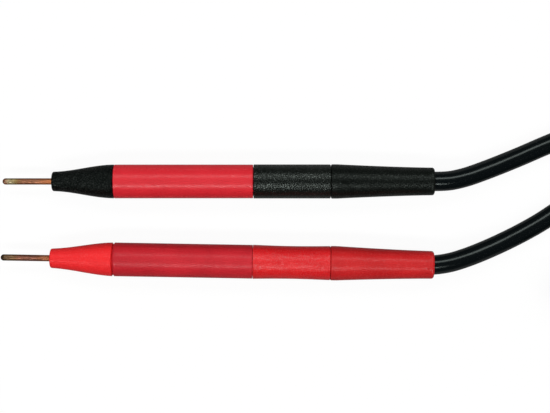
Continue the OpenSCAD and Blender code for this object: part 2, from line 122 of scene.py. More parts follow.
def neighbours(rows: list[Any], closed: bool) -> list[tuple[Any, Any]]:
    """Each row with the next, and the last with the first if they close on themselves."""
    return list(zip(rows, rows[1:] + rows[:1] if closed else rows[1:]))


def new_object(name: str, data: bpy.types.ID | None = None) -> Piece:
    """A new object at the origin, of the data given or of an empty mesh."""
    made = bpy.data.objects.new(name, data or bpy.data.meshes.new(name))
    bpy.context.scene.collection.objects.link(made)
    return made


def mesh_piece(work: bmesh.types.BMesh, name: str, sharp: float) -> Piece:
    """Turn a bmesh into an object at the origin.

    Args:
        work: the bmesh, which is freed.
        name: the new object's name.
        sharp: edges steeper than this many degrees stay sharp.

    Returns:
        The new object.
    """
    data = bpy.data.meshes.new(name)
    work.to_mesh(data)
    work.free()
    data.shade_smooth()
    data.set_sharp_from_angle(angle=math.radians(sharp))
    return new_object(name, data)


def turned(name: str, profile: Profile, place: Matrix, segments: int = 128) -> Piece:
    """Turn a profile round the local Z axis.

    Args:
        name: the new object's name.
        profile: points of radius and height in mm. A ring's profile is closed on
            itself, and one that starts and ends on the axis gets poles.
        place: from the local frame in mm to the row frame in metres.
        segments: number of facets round the axis.

    Returns:
        The object, with its place in its mesh.
    """
    work = bmesh.new()
    around = [2 * math.pi * k / segments for k in range(segments)]
    rows: list[list[bmesh.types.BMVert]] = []
    for r, z in profile:
        spots = [(0, 0, z)] if r < ON_AXIS else [(r * math.cos(a), r * math.sin(a), z) for a in around]
        rows.append([work.verts.new(place @ Vector(spot)) for spot in spots])
    for low, high in neighbours(rows, closed=profile[0][0] > ON_AXIS):
        for k in range(segments):
            quad = [row[i % len(row)] for row, i in ((low, k), (low, k + 1), (high, k + 1), (high, k))]
            corners = list(dict.fromkeys(quad))
            if len(corners) > 2:
                work.faces.new(corners)
    bmesh.ops.recalc_face_normals(work, faces=work.faces)
    return mesh_piece(work, name, SHARP)


def dress(piece: Piece, finish: "Finish") -> None:
    """Give a piece, or a carried-over node, one finish."""
    piece.data.materials.clear()
    piece.data.materials.append(finish.material())


def settle(piece: Piece, *nodes: str, finish: "Finish | None" = None, body: str = "handles") -> Piece:
    """Set a piece on its body.

    Args:
        piece: the piece.
        nodes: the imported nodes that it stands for.
        finish: its finish, if it has none yet.
        body: the body that it rides on.

    Returns:
        The piece.
    """
    if finish is not None:
        dress(piece, finish)
    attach(piece, body)
    if nodes:
        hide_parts(*nodes)
    return piece


def curve_object(name: str, points: Points) -> Piece:
    """A poly curve through points in metres, at the origin."""
    data = bpy.data.curves.new(name, "CURVE")
    data.dimensions = "3D"
    line = data.splines.new("POLY")
    line.points.add(len(points) - 1)
    for spot, at in zip(line.points, points):
        spot.co = (*at, 1)
    return new_object(name, data)


def between(a: Vector, b: Vector, low: float, high: float, t: float) -> Vector:
    """The point at t on the line that is at a when t is low and at b when it is high."""
    return a * ((high - t) / (high - low)) + b * ((t - low) / (high - low))


def rounded_path(points: Points, steps: int) -> Points:
    """A smooth path through points, by centripetal Catmull-Rom arcs.

    Args:
        points: points to pass through.
        steps: chords between two neighbours.

    Returns:
        The denser path, which starts and ends on the same points.
    """
    ends = [points[0] * 2 - points[1], *points, points[-1] * 2 - points[-2]]
    path: Points = []
    for a, b, c, d in zip(ends, ends[1:], ends[2:], ends[3:]):
        t0 = 0.0
        t1 = t0 + (b - a).length ** 0.5
        t2 = t1 + (c - b).length ** 0.5
        t3 = t2 + (d - c).length ** 0.5
        for i in range(steps):
            t = t1 + (t2 - t1) * i / steps
            p = between(a, b, t0, t1, t)
            q = between(b, c, t1, t2, t)
            s = between(c, d, t2, t3, t)
            path.append(between(between(p, q, t0, t2, t), between(q, s, t1, t3, t), t1, t2, t))
    return [*path, points[-1]]


# ------------------------------------------------------------------ nodes


def add(tree: Tree, kind: str, inputs: Inputs | None = None, **settings: Any) -> bpy.types.Node:
    """Add a node with its settings, its values and its links.

    Args:
        tree: the tree that gets the node.
        kind: the node's type name.
        inputs: a value or an output socket for each input, by name or number.
        settings: the node's own properties.

    Returns:
        The new node.
    """
    made = tree.nodes.new(kind)
    for name, value in settings.items():
        setattr(made, name, value)
    for key, value in (inputs or {}).items():
        if isinstance(value, Socket):
            tree.links.new(value, made.inputs[key])
        else:
            made.inputs[key].default_value = value
    return made


def sums(tree: Tree, operation: str, *values: Socket | float) -> Socket:
    """One step of arithmetic."""
    return add(tree, "ShaderNodeMath", dict(enumerate(values)), operation=operation).outputs[0]


def per_mm(size: float) -> float:
    """The texture scale, per metre, whose features are about size millimetres across."""
    return 1 / (size * MM)


def object_place(tree: Tree) -> Socket:
    """The place on the object's own axes."""
    return add(tree, "ShaderNodeTexCoord").outputs["Object"]


def stretched(tree: Tree, place: Socket, along: float, across: float) -> Socket:
    """A place scaled along X and across it, so that noise draws out into lines."""
    return add(tree, "ShaderNodeMapping", {"Vector": place, "Scale": (along, across, across)}).outputs[0]


def noise(tree: Tree, place: Socket, size: float, detail: float, rough: float = 0.5) -> Socket:
    """Noise with features about size millimetres across."""
    inputs = {"Vector": place, "Scale": per_mm(size), "Detail": detail, "Roughness": rough}
    return add(tree, "ShaderNodeTexNoise", inputs).outputs["Fac"]


def remap(
    tree: Tree, value: Socket, span: tuple[float, float], onto: tuple[float, float] = (0.0, 1.0)
) -> Socket:
    """Take a value from one range to another, and hold it at both ends."""
    ends = {"From Min": span[0], "From Max": span[1], "To Min": onto[0], "To Max": onto[1]}
    return add(tree, "ShaderNodeMapRange", {"Value": value, **ends}).outputs[0]


def blend(tree: Tree, share: Socket, low: str, high: str) -> Socket:
    """Mix two hex colours."""
    inputs = {0: share, 6: linear(low), 7: linear(high)}
    return add(tree, "ShaderNodeMix", inputs, data_type="RGBA").outputs[2]


def bumped(tree: Tree, height: Socket, depth: float) -> Socket:
    """A normal bumped by a height whose full range is depth millimetres."""
    inputs = {"Height": height, "Strength": 1.0, "Distance": depth * MM}
    return add(tree, "ShaderNodeBump", inputs).outputs[0]


def principled(tree: Tree, inputs: Inputs) -> Socket:
    """The principled shader."""
    return add(tree, "ShaderNodeBsdfPrincipled", inputs).outputs[0]


class GeometryRecipe:
    """A geometry node tree with named inputs, run once and made plain mesh.

    The inputs named in lengths are given in mm, those in ratios are plain
    numbers, and those in counts are whole ones.
    """

    name = "recipe"
    lengths: tuple[str, ...] = ()
    ratios: tuple[str, ...] = ()
    counts: tuple[str, ...] = ()

    def __init__(self) -> None:
        """Build the tree once."""
        self.tree = bpy.data.node_groups.new(self.name, "GeometryNodeTree")
        face = self.tree.interface
        face.new_socket("Geometry", in_out="OUTPUT", socket_type="NodeSocketGeometry")
        kinds = {
            "Geometry": ("Geometry",),
            "Float": (*self.lengths, *self.ratios),
            "Int": self.counts,
            "Material": ("Finish",),
        }
        for kind, names in kinds.items():
            for name in names:
                face.new_socket(name, in_out="INPUT", socket_type=f"NodeSocket{kind}")
        self.given = self.tree.nodes.new("NodeGroupInput").outputs
        real = self.node("GeometryNodeRealizeInstances", {"Geometry": self.grow()})
        soft = self.node("GeometryNodeSetShadeSmooth", {"Geometry": real})
        worn = {"Geometry": soft, "Material": self.given["Finish"]}
        add(self.tree, "NodeGroupOutput", {0: self.node("GeometryNodeSetMaterial", worn)})

    def node(self, kind: str, inputs: Inputs | None = None) -> Socket:
        """Add a node to the tree and return its first output."""
        return add(self.tree, kind, inputs).outputs[0]

    def circle(self, radius: Socket | float, points: Socket | int) -> Socket:
        """A circle as a curve."""
        return self.node("GeometryNodeCurvePrimitiveCircle", {"Resolution": points, "Radius": radius})

    def tube(self, path: Socket, section: Socket, caps: bool = True) -> Socket:
        """A section swept along a curve."""
        inputs = {"Curve": path, "Profile Curve": section, "Fill Caps": caps}
        return self.node("GeometryNodeCurveToMesh", inputs)

    def upright(self, height: Socket) -> Socket:
        """A vector along Z."""
        return self.node("ShaderNodeCombineXYZ", {"Z": height})

    def around(self, shape: Socket) -> Socket:
        """As many copies of a shape as the tree's Count, set evenly round the Z axis."""
        count = self.given["Count"]
        points = self.node("GeometryNodeMeshLine", {"Count": count, "Offset": (0.0, 0.0, 0.0)})
        share = sums(self.tree, "DIVIDE", self.node("GeometryNodeInputIndex"), count)
        turn = self.upright(sums(self.tree, "MULTIPLY", share, 2 * math.pi))
        inputs = {"Points": points, "Instance": shape, "Rotation": turn}
        return self.node("GeometryNodeInstanceOnPoints", inputs)

    def grow(self) -> Socket:
        """Add the tree's own nodes and return the socket that holds its shape."""
        raise NotImplementedError

    def run(
        self,
        name: str,
        finish: "Finish",
        place: Matrix | None = None,
        line: Points | None = None,
        **values: float,
    ) -> Piece:
        """Run the tree.

        Args:
            name: the new piece's name.
            finish: the finish of the piece.
            place: the piece's frame, if its sizes aren't in the row frame already.
            line: the line that the tree starts from, if it needs one, in metres.
            values: a value for each named input, with _ for a space.

        Returns:
            A plain mesh object at the origin.
        """
        host = curve_object(f"{name}_line", line) if line else new_object(f"{name}_host")
        modifier = host.modifiers.new(self.name, "NODES")
        modifier.node_group = self.tree
        sockets = {s.name: s.identifier for s in self.tree.interface.items_tree if s.in_out == "INPUT"}
        modifier[sockets["Finish"]] = finish.material()
        for key, value in values.items():
            knob = key.replace("_", " ")
            modifier[sockets[knob]] = value * MM if knob in self.lengths else value
        graph = bpy.context.evaluated_depsgraph_get()
        data = bpy.data.meshes.new_from_object(host.evaluated_get(graph), depsgraph=graph)
        bpy.data.objects.remove(host)
        data.name = name
        if place is not None:
            data.transform(place @ Matrix.Scale(1 / MM, 4))
        piece = new_object(name, data)
        return piece


class Sweep(GeometryRecipe):
    """A round tube along a curve."""

    name = "round_sweep"
    lengths = ("Radius",)
    counts = ("Sides",)

    def grow(self) -> Socket:
        """Sweep a circle along the host curve."""
        return self.tube(self.given["Geometry"], self.circle(self.given["Radius"], self.given["Sides"]))


class RingRow(GeometryRecipe):
    """A row of round-backed rings along +Z, such as the grip ribs on a plug."""

    name = "ring_row"
    lengths = ("Start", "Pitch", "Radius", "Rib Width", "Rib Height")
    counts = ("Count",)

    def grow(self) -> Socket:
        """Stand one ring on each point of a line."""
        given = self.given
        inputs = {
            "Count": given["Count"],
            "Start Location": self.upright(given["Start"]),
            "Offset": self.upright(given["Pitch"]),
        }
        line = self.node("GeometryNodeMeshLine", inputs)
        scale = {"X": given["Rib Height"], "Y": given["Rib Width"], "Z": 1.0}
        size = self.node("ShaderNodeCombineXYZ", scale)
        oval = self.node("GeometryNodeTransform", {"Geometry": self.circle(1.0, 14), "Scale": size})
        ring = self.tube(self.circle(given["Radius"], 96), oval, caps=False)
        return self.node("GeometryNodeInstanceOnPoints", {"Points": line, "Instance": ring})


class LeafCage(GeometryRecipe):
    """Bowed leaves round the Z axis, from one leaf's line."""

    name = "leaf_cage"
    lengths = ("Leaf Width", "Leaf Thickness")
    counts = ("Count",)

    def grow(self) -> Socket:
        """Give the host line a flat section and set copies of it round the axis."""
        size = {"Width": self.given["Leaf Width"], "Height": self.given["Leaf Thickness"]}
        section = self.node("GeometryNodeCurvePrimitiveQuadrilateral", size)
        return self.around(self.tube(self.given["Geometry"], section))


class TwistedRow(GeometryRecipe):
    """Helices round the Z axis: the strands of a bared core, or one start of a thread."""

    name = "twisted_row"
    lengths = ("Radius", "Length", "Wire Radius")
    ratios = ("Turns",)
    counts = ("Count", "Steps")

    def grow(self) -> Socket:
        """Sweep one helix and set copies of it round the axis."""
        given = self.given
        inputs = {
            "Resolution": given["Steps"],
            "Rotations": given["Turns"],
            "Start Radius": given["Radius"],
            "End Radius": given["Radius"],
            "Height": given["Length"],
        }
        helix = self.node("GeometryNodeCurveSpiral", inputs)
        return self.around(self.tube(helix, self.circle(given["Wire Radius"], 8)))


# ------------------------------------------------------------------ finishes


@dataclass(frozen=True)
class Finish:
    """A surface finish, which becomes one material."""

    name: str
    slot: str

    def material(self) -> bpy.types.Material:
        """The finish's material, made the first time that it is asked for."""
        known = bpy.data.materials.get(self.name)
        if known is not None:
            return known
        made = bpy.data.materials.new(self.name)
        made.use_nodes = True
        tree = made.node_tree
        tree.nodes.clear()
        add(tree, "ShaderNodeOutputMaterial", {"Surface": self.shader(tree)})
        return made

    def shader(self, tree: Tree) -> Socket:
        """Add the finish's nodes and return its shader's socket."""
        raise NotImplementedError


@dataclass(frozen=True)
class MouldedPlastic(Finish):
    """ABS or vinyl, injection moulded in a spark-eroded cavity.

    The cavity leaves a fine matt grain, whose tops handling rubs bright, and the
    melt leaves a slow drift in its shade. The grain's hollows are also painted
    darker, as painted shade. Grain, relief and drift are in mm.
    """

    light: str = "#ffffff"
    # dark is reached in the grain's hollows, as painted shade, and where the drift's real tone falls
    dark: str = "#000000"
    roughness: float = 0.4
    grain: float = 0.35
    relief: float = 0.02
    drift: float = 9.0
    gloss: float = 0.3
    sparkle: float = 2.0
    sheen: str = "#ffffff"
    polish: float = 0.06
    hollow: float = 0.75
    tops: tuple[float, float] = (0.5, 0.72)

    def shader(self, tree: Tree) -> Socket:
        """Grain as bump, as painted shade darker in its hollows and as changes of gloss, and drift as
        colour.
        """
        place = object_place(tree)
        grain = noise(tree, place, self.grain, 2.0, 0.6)
        drift = remap(tree, noise(tree, place, self.drift, 3.0), NOISE_SPAN)
        # painted shade: the colour darkens where the grain's bump is low, mixed with the drift's real tone
        shade = remap(tree, sums(tree, "MULTIPLY_ADD", grain, 0.5, drift), (0.0, 1.5))
        rough = (self.roughness + self.polish, self.roughness - self.polish)
        shine = (self.gloss * self.hollow, self.gloss * (1 + self.sparkle))
        inputs = {
            "Base Color": blend(tree, shade, self.dark, self.light),
            "Roughness": remap(tree, grain, NOISE_SPAN, rough),
            "Normal": bumped(tree, grain, self.relief),
            "IOR": 1.5,
            "Specular IOR Level": remap(tree, grain, self.tops, shine),
            "Specular Tint": linear(self.sheen),
        }
        return principled(tree, inputs)


@dataclass(frozen=True)
class ExtrudedJacket(Finish):
    """Soft PVC lead jacket, extruded: glossy, dusty, with slow dents from handling."""

    colour: str = "#05090b"
    roughness: float = 0.18
    gloss: float = 0.4
    sheen: str = "#f0fffa"
    dust: float = 0.5
    dent: float = 7.0
    depth: float = 0.05

    def shader(self, tree: Tree) -> Socket:
        """Dents as bump, and dust as a changing gloss."""
        place = object_place(tree)
        dust = noise(tree, place, self.dust, 2.0, 0.7)
        inputs = {
            "Base Color": linear(self.colour),
            "Roughness": remap(tree, dust, (0.35, 0.7), (self.roughness - 0.03, self.roughness + 0.08)),
            "Normal": bumped(tree, noise(tree, place, self.dent, 1.0, 0.4), self.depth),
            "IOR": 1.53,
            "Specular IOR Level": self.gloss,
            "Specular Tint": linear(self.sheen),
        }
        return principled(tree, inputs)


@dataclass(frozen=True)
class TarnishedCopper(Finish):
    """Copper-plated rod: drawn, then turned to a point, and tarnished by use.

    It is bright orange near the nose, browned along its middle and yellowed
    behind the worn point, with blotches where it was handled. Start and reach
    are in mm along X.
    """

    root: str = "#e79461"
    middle: str = "#bc8263"
    olive: str = "#ad925c"
    pale: str = "#dccfa6"
    point: str = "#b98266"
    rim: str = "#8a6a58"
    start: float = 0.0
    reach: float = 15.8
    blotch: float = 1.6
    line: float = 0.5
    draw: float = 0.06
    depth: float = 0.05

    def shader(self, tree: Tree) -> Socket:
        """A colour ramp along the rod, mottled by noise, with the lines of its drawing."""
        place = object_place(tree)
        blotch = noise(tree, place, self.blotch, 4.0, 0.65)
        along = add(tree, "ShaderNodeSeparateXYZ", {0: place}).outputs["X"]
        travel = remap(tree, along, (self.start * MM, (self.start + self.reach) * MM))
        wander = sums(tree, "MULTIPLY_ADD", blotch, 0.3, -0.15)
        ramp = add(tree, "ShaderNodeValToRGB", {0: sums(tree, "ADD", travel, wander)})
        first, last = ramp.color_ramp.elements
        first.position = 0.06
        first.color = linear(self.point)
        last.position = 0.95
        last.color = linear(self.root)
        stops = ((0.12, self.pale), (0.26, self.olive), (0.4, self.middle), (0.68, self.middle))
        for position, colour in stops:
            ramp.color_ramp.elements.new(position).color = linear(colour)
        lines = noise(tree, stretched(tree, place, self.draw, 1.0), self.line, 2.0, 0.6)
        stain = remap(tree, blotch, (0.4, 0.75), (1.0, 0.62))
        streak = remap(tree, lines, (0.35, 0.65), (0.66, 1.3))
        worn = {0: ramp.outputs[0], "Scale": sums(tree, "MULTIPLY", stain, streak)}
        inputs = {
            "Base Color": add(tree, "ShaderNodeVectorMath", worn, operation="SCALE").outputs[0],
            "Metallic": 1.0,
            "Roughness": remap(tree, blotch, NOISE_SPAN, (0.46, 0.64)),
            "Normal": bumped(tree, lines, self.depth),
            "Specular Tint": linear(self.rim),
        }
        return principled(tree, inputs)


@dataclass(frozen=True)
class TurnedMetal(Finish):
    """Bare or plated metal off a lathe: fine rings round its axis, a little dulled."""

    colour: str = "#c8a860"
    shade: str = "#9c7c3c"
    roughness: float = 0.3
    ring: float = 0.25
    cloud: float = 2.5
    draw: float = 0.05
    depth: float = 0.01

    def shader(self, tree: Tree) -> Socket:
        """Rings as bump, and cloudy tarnish as colour."""
        place = object_place(tree)
        cloud = noise(tree, place, self.cloud, 3.0, 0.6)
        rings = noise(tree, stretched(tree, place, 1.0, self.draw), self.ring, 2.0)
        inputs = {
            "Base Color": blend(tree, remap(tree, cloud, (0.35, 0.7)), self.colour, self.shade),
            "Metallic": 1.0,
            "Roughness": remap(tree, cloud, NOISE_SPAN, (self.roughness - 0.05, self.roughness + 0.1)),
            "Normal": bumped(tree, rings, self.depth),
        }
        return principled(tree, inputs)


@dataclass(frozen=True)
class LoopTape(Finish):
    """Hook-and-loop tape of woven nylon: a matt weave with a soft nap.

    Pitch is in mm for each radian of the weave's waves.
    """

    thread: str = "#2c2d2f"
    gap: str = "#0e0f10"
    pitch: float = 0.6
    nap: float = 0.4
    depth: float = 0.15

    def wave(self, tree: Tree, place: Socket, way: str) -> Socket:
        """One of the weave's two crossed waves."""
        scale = per_mm(self.pitch) / WAVE_RADIANS
        inputs = {"Vector": place, "Scale": scale, "Distortion": 1.0, "Detail": 1.0}
        return add(tree, "ShaderNodeTexWave", inputs, bands_direction=way).outputs["Fac"]

    def shader(self, tree: Tree) -> Socket:
        """A weave from two crossed waves, broken up by the nap."""
        place = object_place(tree)
        weave = sums(tree, "MULTIPLY", *(self.wave(tree, place, way) for way in ("X", "DIAGONAL")))
        height = sums(tree, "MULTIPLY_ADD", weave, 0.5, noise(tree, place, self.nap, 3.0, 0.7))
        inputs = {
            "Base Color": blend(tree, height, self.gap, self.thread),
            "Roughness": 0.85,
            "Normal": bumped(tree, height, self.depth),
            "Sheen Weight": 0.25,
            "Sheen Roughness": 0.4,
        }
        return principled(tree, inputs)


@dataclass(frozen=True)
class StudioFloor(Finish):
    """Pale matt board that keeps the object's soft shadow."""

    seen: str = "#f9f9f9"
    bounced: str = "#4b4b4b"
    lift: float = 0.92
    mirrored: float = 0.1

    def shader(self, tree: Tree) -> Socket:
        """Matt board, lifted towards white where it is seen, mirrored or looked through."""
        path = add(tree, "ShaderNodeLightPath").outputs
        gloss = sums(tree, "MULTIPLY", path["Is Glossy Ray"], self.mirrored)
        seen = sums(tree, "MAXIMUM", path["Is Camera Ray"], gloss)
        through = sums(tree, "MAXIMUM", seen, path["Is Transmission Ray"])
        paint = blend(tree, through, self.bounced, self.seen)
        board = add(tree, "ShaderNodeBsdfDiffuse", {"Color": paint})
        white = add(tree, "ShaderNodeEmission", {"Color": WHITE, "Strength": 1.0})
        share = sums(tree, "MULTIPLY", through, self.lift)
        inputs = {0: share, 1: board.outputs[0], 2: white.outputs[0]}
        return add(tree, "ShaderNodeMixShader", inputs).outputs[0]


# Black ABS, moulded nearly smooth: the nose, and the plug's grip and shroud
BLACK_SMOOTH = MouldedPlastic(
    "black_abs_smooth", "black_plastic", light="#090c0b", dark="#030605", roughness=0.33,
    grain=0.37, relief=0.2, gloss=0.08, sparkle=6.0, sheen="#f0fff6",
)
# Black ABS from a spark-eroded cavity: the sleeve
BLACK_GRAINED = MouldedPlastic(
    "black_abs_grained", "black_plastic", light="#131614", dark="#080b09", roughness=0.27,
    grain=0.34, relief=0.1, gloss=0.3, sparkle=4.6, sheen="#f0fff6",
)
# Black soft vinyl, moulded: the boots
BLACK_SOFT = MouldedPlastic(
    "black_soft_vinyl", "black_soft_plastic", light="#101311", dark="#060907", roughness=0.34,
    grain=0.44, relief=0.09, gloss=0.2, sparkle=2.2, sheen="#f0fff6",
)
# Red ABS, moulded nearly smooth
RED_SMOOTH = MouldedPlastic(
    "red_abs_smooth", "red_plastic", light="#f02c2e", dark="#e02529", roughness=0.42,
    grain=0.5, relief=0.07, gloss=0.18, sparkle=1.4,
)
# Red ABS from a spark-eroded cavity
RED_GRAINED = MouldedPlastic(
    "red_abs_grained", "red_plastic", light="#df1f23", dark="#c9191e", roughness=0.32,
    grain=0.36, relief=0.11, gloss=0.38, sparkle=3.4,
)
# Red soft vinyl, moulded
RED_SOFT = MouldedPlastic(
    "red_soft_vinyl", "red_soft_plastic", light="#ca2426", dark="#b41d1f", roughness=0.34,
    grain=0.7, relief=0.05, gloss=0.29, sparkle=0.9,
)
# Scarlet and crimson ABS, moulded in a polished cavity: the barrels of the two probes
BRIGHT_BARREL = MouldedPlastic(
    "scarlet_barrel", "barrel_plastic", light="#d62a34", dark="#ca242e", roughness=0.31,
    grain=0.6, relief=0.03, gloss=0.37, sparkle=0.5,
)
ROSE_BARREL = MouldedPlastic(
    "crimson_barrel", "barrel_plastic", light="#c92731", dark="#b21f29", roughness=0.35,
    grain=0.6, relief=0.04, gloss=0.27, sparkle=0.3,
)
JACKET = ExtrudedJacket("black_pvc_jacket", "lead_rubber")
BRASS = TurnedMetal("turned_brass_dull", "turned_brass")
TINNED = TurnedMetal("tinned_copper_wire", "tinned_copper", "#c0b8ae", "#b08868", roughness=0.35)
NICKEL = TurnedMetal("bright_nickel", "nickel_plate", "#cfcdc8", "#b4b1aa", roughness=0.22)
TAPE = LoopTape("black_loop_tape", "tie_strap")


@dataclass(frozen=True)
class Kit:
    """The finishes of one probe with its plug."""

    smooth: Finish
    grained: Finish
    soft: Finish
    barrel: Finish
    pin: TarnishedCopper


BLACK_PIN = TarnishedCopper("tarnished_copper_black", "pin_copper")
RED_PIN = TarnishedCopper(
    "tarnished_copper_red", "pin_copper", root="#e19466", middle="#a56e5b", olive="#8e6b4c",
    pale="#a18264", point="#54452f",
)
KITS = {
    Hue.BLACK: Kit(BLACK_SMOOTH, BLACK_GRAINED, BLACK_SOFT, BRIGHT_BARREL, BLACK_PIN),
    Hue.RED: Kit(RED_SMOOTH, RED_GRAINED, RED_SOFT, ROSE_BARREL, RED_PIN),
}


# ------------------------------------------------------------------ handles


@dataclass(frozen=True)
class ProbeSizes:
    """Where one probe lies and the sizes that its pieces share.

    Swell is how far the nose's side is an S, from 0 to 1. Seam is the slant of the
    nose's and the barrel's edges where they meet, waist how far the sleeve draws in,
    and line how wide the dark gaps at the other seams are.
    """

    hue: Hue
    tip: Spot
    turn: float
    nose_l: float
    swell: float
    seam: float
    waist: float
    front_round: float
    rear_round: float
    line: float
    pin_out: float = 15.8
    pin_in: float = 33
    barrel_l: float = 44.2
    barrel_d: float = 10.7
    sleeve_l: float = 24.6
    sleeve_d: float = 10.8
    boot_l: float = 32.8
    joint_d: float = 8.4
    plug_l: float = 6.0
    seat: float = 0.02

    @property
    def kit(self) -> Kit:
        """The probe's finishes."""
        return KITS[self.hue]

    @property
    def place(self) -> Matrix:
        """From the probe's own frame in mm to the row frame in metres."""
        return (
            Matrix.Translation(Vector(self.tip) * MM)
            @ Matrix.Rotation(math.radians(self.turn), 4, "Z")
            @ Matrix.Rotation(math.pi / 2, 4, "Y")
            @ Matrix.Scale(MM, 4)
        )

    @property
    def barrel_at(self) -> float:
        """Station of the seam between nose and barrel."""
        return self.pin_out + self.nose_l

    @property
    def sleeve_at(self) -> float:
        """Station of the seam between barrel and sleeve."""
        return self.barrel_at + self.barrel_l

    @property
    def boot_at(self) -> float:
        """Station of the seam between sleeve and boot."""
        return self.sleeve_at + self.sleeve_l

    @property
    def end(self) -> float:
        """Station of the boot's rear face."""
        return self.boot_at + self.boot_l

    def name(self, part: str) -> str:
        """A piece's name on this probe."""
        return f"{self.hue.value}_{part}"


PROBES = (
    ProbeSizes(
        Hue.BLACK, (-68.2, 12.9715, 5.45), turn=0, nose_l=19.6, swell=1.0, seam=0.15, waist=0.0,
        front_round=0.12, rear_round=0.18, line=0.08,
    ),
    ProbeSizes(
        Hue.RED, (-68.8, -11.1285, 5.45), turn=-1, nose_l=20.0, swell=0.8, seam=0.4, waist=0.2,
        front_round=0.06, rear_round=0.1, line=0.05,
    ),
)


@dataclass
class PinPiece:
    """The replaceable pin: a drawn rod with a rounded point."""

    sizes: ProbeSizes
    pin_d: float = 2.0
    shank_d: float = 1.4
    point_l: float = 1.0
    chamfer: float = 0.3

    def build(self) -> None:
        """Turn the pin and set it on its body."""
        s, r = self.sizes, self.pin_d / 2
        slopes = [math.radians(90 * u) for u in shares(16)]
        point = [(r * math.sin(a), self.point_l * (1 - math.cos(a))) for a in slopes]
        rod = [(r, self.point_l + (s.pin_out - self.point_l) * u) for u in shares(12, 1)]
        shank, rear = self.shank_d / 2, s.pin_out + s.pin_in
        end = [(shank, s.pin_out), (shank, rear - self.chamfer), (shank - self.chamfer, rear), (0.0, rear)]
        piece = turned(s.name("pin"), [*point, *rod, *end], s.place, 64)
        finish = replace(s.kit.pin, start=s.tip[0])
        settle(piece, s.name("probe_pin"), finish=finish, body=s.name("pin_part"))


@dataclass
class NosePiece:
    """The screw cap that closes the collet, moulded with a rounded front."""

    sizes: ProbeSizes
    front_d: float = 6.2
    edge: float = 0.6
    bore_r: float = 0.8
    chamber_r: float = 2.55
    chamber_l: float = 13.6
    socket_r: float = 3.28
    socket_l: float = 10.75
    mouth: float = 0.25
    line: float = 0.1
    line_r: float = 4.55

    def side(self, u: float) -> tuple[float, float]:
        """Radius and station of the outside at a share of the nose's length."""
        s, front = self.sizes, self.front_d / 2
        grow = s.swell * smooth(u) + (1 - s.swell) * u
        return front + (s.barrel_d / 2 - front) * grow, s.pin_out + s.nose_l * u

    def build(self) -> None:
        """Turn the cap and set it on its body."""
        s = self.sizes
        z0, z1 = s.pin_out, s.barrel_at - s.seat
        socket, chamber = s.barrel_at - self.socket_l, s.barrel_at - self.chamber_l
        first, last = self.edge / s.nose_l, 1 - s.seam / s.nose_l
        profile = [
            *arc(self.front_d / 2 - self.edge, z0 + self.edge, self.edge, -90, 0, 8),
            *(self.side(first + (last - first) * u) for u in shares(40, 1)),
            (s.barrel_d / 2 - s.seam, z1 - self.line), (self.line_r, z1 - self.line),
            (self.line_r, z1), (self.socket_r, z1), (self.socket_r, socket),
            (self.chamber_r, socket), (self.chamber_r, chamber), (self.bore_r, chamber),
            (self.bore_r, z0 + self.mouth), (self.bore_r + self.mouth, z0),
        ]
        piece = turned(s.name("nose"), profile, s.place)
        settle(piece, s.name("nose_cap"), finish=s.kit.smooth, body=s.name("nose_part"))


